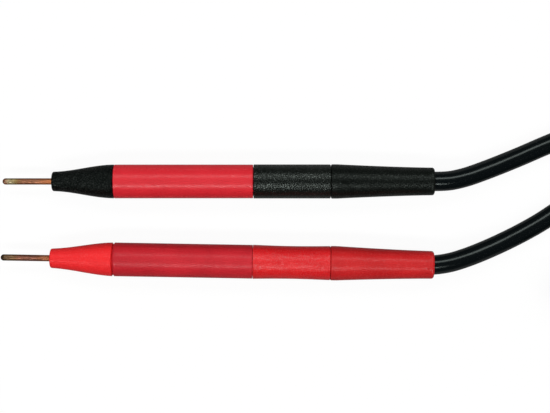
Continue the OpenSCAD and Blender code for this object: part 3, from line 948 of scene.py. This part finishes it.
@dataclass
class HandlePieces:
    """Barrel, rear sleeve and strain-relief boot, pressed together in one row."""

    sizes: ProbeSizes
    lead_d: float = 6.2
    core_d: float = 7.2
    joint_l: float = 8.0
    joint_edge: float = 0.4
    line_r: float = 4.55
    boot_d: float = 10.9
    boot_end_d: float = 8.8
    shoulder_l: float = 2.0
    shoulder_edge: float = 0.3
    shoulder_mid: float = 0.08
    fall: float = 1.4
    boot_edge: float = 0.7
    mouth: float = 0.25

    def front(self, bore: float, seam: float) -> Profile:
        """The front of a piece, from its bore to the floor of the dark line at its seam."""
        return [(bore, seam), (self.line_r, seam), (self.line_r, seam + self.sizes.line)]

    def rear(self, bore: float, seam: float) -> Profile:
        """The rear of a piece, from the floor of the dark line at its seam to its bore."""
        return [(self.line_r, seam - self.sizes.line), (self.line_r, seam), (bore, seam)]

    def barrel(self) -> None:
        """Turn the barrel, with its rear spigot inside the sleeve."""
        s = self.sizes
        r, seam, rear = s.barrel_d / 2, s.barrel_at, s.sleeve_at - s.seat
        bore, spigot, end = self.core_d / 2 + s.seat, s.joint_d / 2 - s.seat, rear + self.joint_l
        start, stop = seam + s.line + s.seam, rear - s.line - s.front_round
        profile = [
            *self.front(bore, seam),
            (r - s.seam, seam + s.line),
            *((r, start + (stop - start) * u) for u in shares(16)),
            (r - s.front_round, rear - s.line),
            *self.rear(spigot, rear),
            (spigot, end - self.joint_edge), (spigot - self.joint_edge, end), (bore, end),
        ]
        settle(turned(s.name("barrel_tube"), profile, s.place), s.name("barrel"), finish=s.kit.barrel)

    def sleeve(self) -> None:
        """Turn the rear sleeve, a little drawn in at its middle."""
        s = self.sizes
        r, bore, seam, rear = s.sleeve_d / 2, s.joint_d / 2, s.sleeve_at, s.boot_at - s.seat
        start, stop = seam + s.line + s.front_round, rear - s.line - s.rear_round
        profile = [
            *self.front(bore, seam),
            (r - s.front_round, seam + s.line),
            *((r - s.waist * math.sin(math.pi * u), start + (stop - start) * u) for u in shares(24)),
            (r - s.rear_round, rear - s.line),
            *self.rear(bore, rear),
        ]
        settle(turned(s.name("sleeve"), profile, s.place), s.name("rear_sleeve"), finish=s.kit.grained)

    def boot(self) -> None:
        """Turn the boot, which falls from its shoulder to the lead."""
        s, edge = self.sizes, self.boot_edge
        r, end_r, seam = self.boot_d / 2, self.boot_end_d / 2, s.boot_at
        bore, plug = self.lead_d / 2 + s.seat, s.joint_d / 2 - s.seat
        start, stop = seam + self.shoulder_l, s.end - edge
        profile = [
            (bore, seam - s.plug_l), (plug, seam - s.plug_l),
            *self.front(plug, seam),
            (r - self.shoulder_edge, seam + s.line),
            (r - self.shoulder_mid, seam + s.line + self.shoulder_edge / 3),
            (r, seam + s.line + self.shoulder_edge),
            *((end_r + (r - end_r) * (1 - u) ** self.fall, start + (stop - start) * u) for u in shares(40)),
            *arc(end_r - edge, s.end - edge, edge, 0, 90),
            (bore + self.mouth, s.end), (bore, s.end - self.mouth),
        ]
        settle(turned(s.name("boot"), profile, s.place), s.name("strain_boot"), finish=s.kit.soft)

    def build(self) -> None:
        """Make the three pieces, front to rear."""
        self.barrel()
        self.sleeve()
        self.boot()


@dataclass
class SpigotThread:
    """The screwed spigot's thread, seen in the seam when the cap is off its seat."""

    sizes: ProbeSizes
    twist: TwistedRow
    spigot_d: float = 6.4
    pitch: float = 0.75
    length: float = 8.2
    shoulder: float = 0.3
    ridge: float = 0.05
    wire: float = 0.2

    def build(self) -> None:
        """Wind one start of thread on the spigot."""
        s = self.sizes
        foot = s.barrel_at - self.length - self.shoulder
        piece = self.twist.run(
            s.name("spigot_thread"), BRASS, s.place @ Matrix.Translation((0, 0, foot)),
            Count=1, Radius=self.spigot_d / 2 + self.ridge - self.wire,
            Turns=self.length / self.pitch, Length=self.length, Wire_Radius=self.wire, Steps=28,
        )
        settle(piece)


@dataclass
class CoreStrands:
    """The bared copper core between the solder cup and the jacket, laid in a twist."""

    sizes: ProbeSizes
    twist: TwistedRow
    core_d: float = 2.6
    cup_l: float = 22.1
    crimp_l: float = 6.0
    wire: float = 0.351
    lay: float = 18.0
    count: int = 9

    def build(self) -> None:
        """Twist the strands round one another inside the core's solid."""
        s = self.sizes
        start = s.barrel_at + self.cup_l
        length = s.boot_at - s.plug_l - 2 * s.seat - self.crimp_l - start
        piece = self.twist.run(
            s.name("core_strands"), TINNED, s.place @ Matrix.Translation((0, 0, start)),
            Count=self.count, Radius=self.core_d / 2 - self.wire, Turns=length / self.lay,
            Length=length, Wire_Radius=self.wire, Steps=24,
        )
        settle(piece, s.name("lead_core"))


# ------------------------------------------------------------------ leads and plugs


@dataclass(frozen=True)
class HankSizes:
    """The folded store of both leads, in layers inside one tie."""

    centre: tuple[float, float] = (220.7, 1.8)
    lead_d: float = 6.2
    run: float = 93.0
    fold_r: float = 18.6
    step: float = 7.05
    waist: float = 9.0
    layer: float = 6.65
    tie_t: float = 0.8
    tie_room: float = 0.4

    def radius(self, s: float) -> float:
        """Fold radius after s stretches: in for a loop, level, and out again."""
        if s < 4:
            return self.fold_r + self.step - self.step * s / 4
        return self.fold_r + self.step * max(s - 5, 0) / 4

    def point(self, s: float, low: float) -> Vector:
        """A point of the folded lead.

        Args:
            s: stretches from the start. Even ones are runs and odd ones are folds.
            low: height of the surface that the first loop lies on.

        Returns:
            The point in mm.
        """
        stretch, u = int(s) % 4, s - int(s)
        r, side = self.radius(s), 1 if stretch < 2 else -1
        rise = self.layer * smooth(min(max(s - 4, 0), 1))
        if stretch % 2 == 0:
            x = self.run * (u - 0.5) * side
            drawn = math.cos(math.pi * x / self.run) ** 2
            flat = (x, side * (r - self.waist * drawn))
            rise += (self.tie_t + self.tie_room) * drawn
        else:
            a = math.radians(90 - 180 * u)
            flat = (side * (self.run / 2 + r * math.cos(a)), side * r * math.sin(a))
        return Vector((self.centre[0] + flat[0], self.centre[1] + flat[1], low + self.lead_d / 2 + rise))


@dataclass(frozen=True)
class LeadLie:
    """How one lead lies.

    The route is measured in X and Y from the boot's mouth, and everything else
    from the frame's origin. Low is the height of what its hank lies on, stretches
    are the hank's runs and folds, and length is the whole lead's, in metres.
    """

    route: tuple[Spot, ...]
    tail: tuple[Spot, ...]
    plug_rear: Spot
    low: float
    stretches: float
    length: float


LIES = {
    Hue.BLACK: LeadLie(
        route=(
            (5, 0.25, 5.4), (10, 1.35, 5), (16, 3.4, 4.2), (22, 5.7, 3.4), (28, 8.15, 3.1),
            (36, 11.6, 3.1), (41, 13.5, 3.1), (46, 14.4, 3.1), (54, 14.5, 3.1), (66, 14.5, 3.1),
            (80, 14.5, 3.1),
        ),
        tail=((164.5, -20.45, 9.3), (160, -20.75, 7.9), (155.5, -21.1, 6.3)),
        plug_rear=(151.7, -21.25, 5.6),
        low=0.0,
        stretches=7.0,
        length=0.711,
    ),
    Hue.RED: LeadLie(
        route=(
            (5, 0.7, 5.4), (10, 2.15, 5), (16, 4.4, 4.2), (22, 7, 3.4), (28, 9.95, 3.1),
            (34, 13.3, 3.1), (40, 17.2, 3.15), (48, 22.6, 4.2), (57, 28.2, 7.2), (67, 33.3, 11.4),
            (77, 37.3, 14.9), (88, 40.1, 16.3),
        ),
        tail=((208, -11.1, 24.2), (201, -12.7, 24.8), (195, -14.2, 25.3)),
        plug_rear=(190, -14.9, 25.4),
        low=13.3,
        stretches=6.5,
        length=0.6805,
    ),
}


@dataclass
class FoldedLead:
    """One lead: from where the boot holds it, along the table, folded in its hank, to its plug."""

    sizes: ProbeSizes
    lie: LeadLie
    sweep: Sweep
    hank: HankSizes
    held: float = 4.3
    per_stretch: int = 24
    smoothing: int = 6
    almost: float = 0.0001

    def path(self) -> Points:
        """The whole centre line, boot to plug, in metres."""
        s, hank, lie = self.sizes, self.hank, self.lie
        held_at = s.place @ Vector((0, 0, s.end - self.held)) / MM
        exit_at = s.place @ Vector((0, 0, s.end)) / MM
        lead_in = Vector((hank.lead_d, 0, 0))
        start = hank.point(0, lie.low)
        route = (Vector((exit_at.x + x, exit_at.y + y, z)) for x, y, z in lie.route)
        free = [held_at, exit_at, *route, start - lead_in, start]
        count = round(lie.stretches * self.per_stretch)
        folded = [hank.point(i / self.per_stretch, lie.low) for i in range(1, count)]
        close = hank.point(lie.stretches - self.almost, lie.low)
        after = [close, close - lead_in, *(Vector(p) for p in lie.tail), Vector(lie.plug_rear)]
        before = rounded_path(free, self.smoothing)[:-1]
        return [p * MM for p in (*before, start, *folded, *rounded_path(after, self.smoothing))]

    def build(self) -> tuple[Piece, Points]:
        """Sweep the jacket along the path.

        Returns:
            The lead's object and its centre line in metres.
        """
        s, line = self.sizes, self.path()
        radius = self.hank.lead_d / 2
        piece = self.sweep.run(s.name("lead_jacket_tube"), JACKET, line=line, Radius=radius, Sides=32)
        return settle(piece, s.name("lead"), s.name("lead_hank"), s.name("lead_tail")), line


@dataclass
class PlugPieces:
    """A shrouded 4 mm plug: boot, grip body, shroud, contact and spring cage."""

    sizes: ProbeSizes
    rear: Spot
    rings: RingRow
    cage: LeafCage
    lead_r: float = 3.1
    plug_r: float = 5.6
    boot_l: float = 12.0
    body_l: float = 14.0
    shroud_l: float = 19.0
    shroud_bore: float = 8.2
    pin_d: float = 4.0
    pin_l: float = 18.0
    neck_d: float = 2.7
    stem_l: float = 4.0
    head_l: float = 2.2
    socket_l: float = 4.0
    web: float = 2.0
    wall: float = 0.7
    boot_wall: float = 0.9
    step: float = 0.6
    fit: float = 0.02
    rim: float = 0.5
    rim_mid: float = 0.15
    edge: float = 0.1
    seam: float = 0.12
    mouth: float = 0.3
    mouth_mid: float = 0.08
    grips: int = 4
    grip_at: float = 2.0
    groove: float = 0.35
    rib_w: float = 0.75
    rib_h: float = 0.38
    rib_in: float = 0.05
    leaves: int = 6
    leaf_w: float = 0.9
    leaf_t: float = 0.3
    leaf_in: float = 0.3
    leaf_room: float = 0.05
    collar_l: float = 1.2
    collar_t: float = 0.33

    @property
    def place(self) -> Matrix:
        """From the plug's own frame in mm to the row frame in metres."""
        return (
            Matrix.Translation(Vector(self.rear) * MM)
            @ Matrix.Rotation(-math.pi / 2, 4, "Y")
            @ Matrix.Scale(MM, 4)
        )

    @property
    def face(self) -> float:
        """Station of the body's front face."""
        return self.boot_l + self.body_l

    @property
    def hole(self) -> float:
        """Radius of the hole that the contact's neck goes through."""
        return self.neck_d / 2 + self.fit

    def turn(self, part: str, profile: Profile, finish: Finish, *nodes: str, segments: int = 128) -> Piece:
        """Turn one piece of the plug and settle it in place of its nodes."""
        name = self.sizes.name
        piece = turned(name(part), profile, self.place, segments)
        return settle(piece, *map(name, nodes), finish=finish)

    def boot(self) -> Piece:
        """Turn the plug's tapered boot."""
        narrow, wide, root = self.lead_r + self.boot_wall, self.plug_r - self.step, self.lead_r + self.wall
        grow, run = wide - narrow, self.boot_l - self.rim
        profile = [
            (0.0, 0.0), (narrow - self.rim + self.edge, 0.0),
            (narrow - self.edge, self.rim_mid), (narrow, self.rim),
            *((narrow + grow * u, self.rim + run * u) for u in shares(12, 1)),
            (root, self.boot_l), (root, self.boot_l + self.socket_l),
            (self.hole, self.boot_l + self.socket_l), (self.hole, self.boot_l - self.web),
            (0.0, self.boot_l - self.web),
        ]
        return self.turn("plug_relief", profile, self.sizes.kit.soft, "plug_boot")

    def body(self) -> list[Piece]:
        """Turn the grip body and stand its ribs on it."""
        start, r, groove, finish = self.boot_l + self.fit, self.plug_r, self.groove, self.sizes.kit.smooth
        root, collar = self.lead_r + self.wall + self.fit, self.pin_d / 2 - 2 * self.edge + self.fit
        seat = start + self.socket_l + self.edge
        pitch = (self.body_l - 2 * self.grip_at) / self.grips
        first, last = start + self.grip_at + groove, start + self.grip_at + pitch * self.grips - groove
        profile = [
            (root, start), (r - self.rim, start), (r - self.rim_mid, start + self.rim_mid),
            (r, start + self.rim), (r, first), (r - groove, first + groove),
            (r - groove, last - groove), (r, last), (r, self.face), (collar, self.face),
            (collar, self.face - self.socket_l), (self.hole, self.face - self.socket_l),
            (self.hole, seat), (root, seat),
        ]
        made = self.turn("plug_grip", profile, finish, "plug_body")
        ribs = self.rings.run(
            self.sizes.name("plug_grip_ribs"), finish, self.place,
            Count=self.grips, Start=first + pitch / 2, Pitch=pitch,
            Radius=r - groove - self.rib_in, Rib_Width=self.rib_w, Rib_Height=self.rib_h,
        )
        return [made, settle(ribs)]

    def shroud(self) -> Piece:
        """Turn the insulating shroud."""
        r, bore, rim = self.plug_r, self.shroud_bore / 2, self.rim
        start, end = self.face + self.fit, self.face + self.shroud_l
        profile = [
            (bore, start), (r - self.seam, start), (r, start + self.seam),
            *arc(r - rim, end - rim, rim, 0, 90),
            (bore + self.mouth, end), (bore + self.mouth_mid, end - self.mouth_mid),
            (bore, end - self.mouth),
        ]
        return self.turn("plug_sheath", profile, self.sizes.kit.smooth, "plug_shroud")

    def contact(self) -> Piece:
        """Turn the contact: stem, collar, thin neck and round head."""
        rear, face, tip = self.boot_l - self.web + self.fit, self.face + self.fit, self.face + self.pin_l
        base, head = face + self.stem_l, tip - self.head_l
        r, neck, edge = self.pin_d / 2, self.neck_d / 2, self.edge
        profile = [
            (0.0, rear), (neck, rear), (neck, face - self.socket_l),
            (r - 2 * edge, face - self.socket_l), (r - 2 * edge, face), (r, face),
            (r, base - edge), (r - edge, base), (neck, base), (neck, head), (r - edge, head),
            (r, head + edge),
            *arc(r / 2, tip - r / 2, r / 2, 0, 90, 10),
            (0.0, tip),
        ]
        return self.turn("plug_prong", profile, NICKEL, "plug_pin", segments=64)

    def spring(self) -> list[Piece]:
        """Bow the leaves of the cage between its two collars."""
        start = self.face + self.stem_l + 2 * self.fit
        end = self.face + self.pin_l - self.head_l - self.fit
        foot, run = start + self.leaf_in, end - start - 2 * self.leaf_in
        low = self.hole + self.leaf_t / 2 + self.fit
        bow = self.pin_d / 2 - self.hole - self.leaf_t - self.leaf_room
        line = [Vector((low + bow * math.sin(math.pi * u), 0, foot + run * u)) * MM for u in shares(24)]
        piece = self.cage.run(
            self.sizes.name("plug_leaves"), NICKEL, self.place, line,
            Count=self.leaves, Leaf_Width=self.leaf_w, Leaf_Thickness=self.leaf_t,
        )
        made = [settle(piece, self.sizes.name("plug_spring"))]
        inside, outside = self.hole, self.hole + self.collar_t
        for k, z in enumerate((start, end - self.collar_l)):
            ring = [(inside, z), (outside, z), (outside, z + self.collar_l), (inside, z + self.collar_l)]
            made.append(self.turn(f"plug_collar_{k}", ring, NICKEL, segments=64))
        return made

    def build(self) -> list[Piece]:
        """Make the plug, rear to front.

        Returns:
            The plug's pieces.
        """
        return [self.boot(), *self.body(), self.shroud(), self.contact(), *self.spring()]


@dataclass
class TiePiece:
    """The hook-and-loop strap round both hanks, with its end lapped on top."""

    hank: HankSizes
    layers: int = 4
    width: float = 8.0
    rim_r: float = 0.22
    rim_angle: float = 60
    sharp: float = 50
    lap_from: float = -6.0
    lap_l: float = 18.0
    lap_t: float = 0.68
    lap_gap: float = 0.1
    lap_lift: float = 0.35

    @property
    def thick(self) -> float:
        """Thickness of the strap."""
        return self.hank.tie_t

    @property
    def high(self) -> float:
        """Height of the inner face on top."""
        h = self.hank
        return h.tie_t + 2 * h.tie_room + (self.layers - 1) * h.layer + h.lead_d

    def outline(self, inset: float) -> Profile:
        """The strap's path as a rounded box, inset millimetres inside its outer face."""
        h = self.hank
        beside = h.lead_d / 2 + h.tie_room - h.waist + self.thick - inset
        r = h.lead_d / 2 + self.thick - inset
        left, right = r - h.radius(2.5) - beside, h.radius(0.5) + beside - r
        low, high = inset + r, self.high + self.thick - inset - r
        corners = ((right, low, -90), (right, high, 0), (left, high, 90), (left, low, 180))
        return [p for y, z, start in corners for p in arc(y, z, r, start, start + 90, 8)]

    def band(self, name: str, outer: Profile, inner: Profile, closed: bool) -> Piece:
        """Make a flat strap between two paths.

        Args:
            name: the new object's name.
            outer: the outer face's path, in Y from the tie's centre and Z.
            inner: the inner face's path, point for point.
            closed: whether the last point joins the first.

        Returns:
            The strap, with its edges rounded.
        """
        work = bmesh.new()
        x0, y0 = self.hank.centre
        half = self.width / 2
        rows = []
        for out, back in zip(outer, inner):
            corners = ((-half, *out), (half, *out), (half, *back), (-half, *back))
            rows.append([work.verts.new(Vector((x0 + x, y0 + y, z)) * MM) for x, y, z in corners])
        for a, b in neighbours(rows, closed):
            for k in range(4):
                work.faces.new((a[k], a[(k + 1) % 4], b[(k + 1) % 4], b[k]))
        if not closed:
            work.faces.new(rows[0])
            work.faces.new(rows[-1])
        bmesh.ops.recalc_face_normals(work, faces=work.faces)
        steep = math.radians(self.rim_angle)
        rims = [e for e in work.edges if len(e.link_faces) == 2 and e.calc_face_angle() > steep]
        bmesh.ops.bevel(work, geom=rims, offset=self.rim_r * MM, segments=3, profile=0.5, affect="EDGES")
        return mesh_piece(work, name, self.sharp)

    def build(self) -> list[Piece]:
        """Make the band and its lapped end.

        Returns:
            The two straps.
        """
        band = self.band("tie_band", self.outline(0), self.outline(self.thick), True)
        top = self.high + self.thick + self.lap_gap
        inner = [(self.lap_from + self.lap_l * u, top + self.lap_lift * (1 - u) ** 3) for u in shares(12)]
        outer = [(y, z + self.lap_t) for y, z in inner]
        lap = self.band("tie_lap", outer, inner, False)
        return [settle(band, "hank_tie", finish=TAPE), settle(lap, finish=TAPE)]


# ------------------------------------------------------------------ studio


@dataclass(frozen=True)
class SoftBox:
    """A long soft lamp parallel to the probes.

    Tilt is in degrees from straight above, positive towards -Y. Width, start and
    end are in metres, and the lamp's face is white where its glow is 1.
    """

    name: str
    tilt: float
    width: float
    glow: float
    start: float = -1.2
    end: float = 1.2
    mirrored: bool = True


LAMPS = (
    SoftBox("near_box", 33, 0.15, 7.6, end=0.22),
    SoftBox("near_fill", 33, 0.15, 5.8, start=0.22, mirrored=False),
    SoftBox("far_box", -34, 0.28, 2.5),
    SoftBox("top_fill", 0, 0.5, 1.4, mirrored=False),
    SoftBox("low_fill", -86, 0.12, 4.8, mirrored=False),
)


@dataclass
class Studio:
    """Floor, sky, five long soft lamps and the camera.

    The board's size and the lamps' places are in metres, and watts are what a
    square metre of lamp takes for each unit of its glow.
    """

    camera_at: Spot = (18.27, 5.02, 434.0)
    focal_px: float = 1350.0
    image_w: int = 550
    clip_m: float = 0.01
    board_m: float = 6.0
    sky: float = 0.04
    distance: float = 1.1
    lamps_x: float = 0.02
    watts: float = 4.0

    def camera(self) -> None:
        """Look straight down, with the image's top towards +Y."""
        data = bpy.data.cameras.new("camera")
        data.sensor_fit = "HORIZONTAL"
        data.angle = 2 * math.atan(self.image_w / 2 / self.focal_px)
        data.clip_start = self.clip_m
        made = new_object("camera", data)
        made.location = Vector(self.camera_at) * MM
        bpy.context.scene.camera = made

    def floor(self) -> None:
        """Lay the board under everything."""
        work = bmesh.new()
        bmesh.ops.create_grid(work, x_segments=8, y_segments=8, size=self.board_m)
        board = mesh_piece(work, "floor", SHARP)
        board.data.materials.append(StudioFloor("studio_board", "none").material())

    def sky_light(self) -> None:
        """A plain grey sky."""
        world = bpy.data.worlds.new("sky")
        bpy.context.scene.world = world
        world.use_nodes = True
        tree = world.node_tree
        tree.nodes.clear()
        glow = add(tree, "ShaderNodeBackground", {"Color": WHITE, "Strength": self.sky})
        add(tree, "ShaderNodeOutputWorld", {"Surface": glow.outputs[0]})

    def hang(self, lamp: SoftBox) -> None:
        """Hang one lamp, facing the probes."""
        data = bpy.data.lights.new(lamp.name, "AREA")
        data.shape = "RECTANGLE"
        data.size = lamp.end - lamp.start
        data.size_y = lamp.width
        data.energy = lamp.glow * self.watts * data.size * data.size_y
        a = math.radians(lamp.tilt)
        middle = self.lamps_x + (lamp.start + lamp.end) / 2
        made = new_object(lamp.name, data)
        made.location = (middle, -math.sin(a) * self.distance, math.cos(a) * self.distance)
        made.rotation_euler = (a, 0, 0)
        made.visible_glossy = lamp.mirrored

    def build(self) -> None:
        """Set up the whole studio."""
        self.camera()
        self.floor()
        self.sky_light()
        for lamp in LAMPS:
            self.hang(lamp)
        bpy.context.scene.view_settings.view_transform = "Standard"


# ------------------------------------------------------------------ the pair


@dataclass
class ProbePair:
    """Both probes with their leads, plugs and the tie."""

    hank: HankSizes = field(default_factory=HankSizes)
    sweep: Sweep = field(default_factory=Sweep)
    rings: RingRow = field(default_factory=RingRow)
    cage: LeafCage = field(default_factory=LeafCage)
    twist: TwistedRow = field(default_factory=TwistedRow)

    def cord(self, sizes: ProbeSizes) -> None:
        lie = LIES[sizes.hue]
        piece, line = FoldedLead(sizes, lie, self.sweep, self.hank).build()
        plug = PlugPieces(sizes, lie.plug_rear, self.rings, self.cage).build()
        log.info("%s lead: %d path points, plug of %d pieces", sizes.hue.value, len(line), len(plug))

    def probe(self, sizes: ProbeSizes) -> None:
        """Make the pieces of a probe."""
        PinPiece(sizes).build()
        NosePiece(sizes).build()
        HandlePieces(sizes).build()
        SpigotThread(sizes, self.twist).build()
        CoreStrands(sizes, self.twist).build()
        log.info("%s probe made", sizes.hue.value)

    def inner_nodes(self, sizes: ProbeSizes) -> None:
        """Dress the nodes that stay as they were packed."""
        kept = {"collet": BRASS, "contact_body": BRASS, "crimp_ferrule": TINNED, "lead_jacket": JACKET}
        for part, finish in kept.items():
            dress(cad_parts[sizes.name(part)], finish)

    def build(self) -> None:
        """Make everything, cords first."""
        for step in (self.cord, self.probe, self.inner_nodes):
            for sizes in PROBES:
                step(sizes)
        log.info("tie: %d straps", len(TiePiece(self.hank).build()))


def main() -> None:
    """Build the studio and the pair."""
    logging.basicConfig(level=logging.INFO, format="%(message)s")
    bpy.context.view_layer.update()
    Studio().build()
    ProbePair().build()


if __name__ == "__main__":
    main()
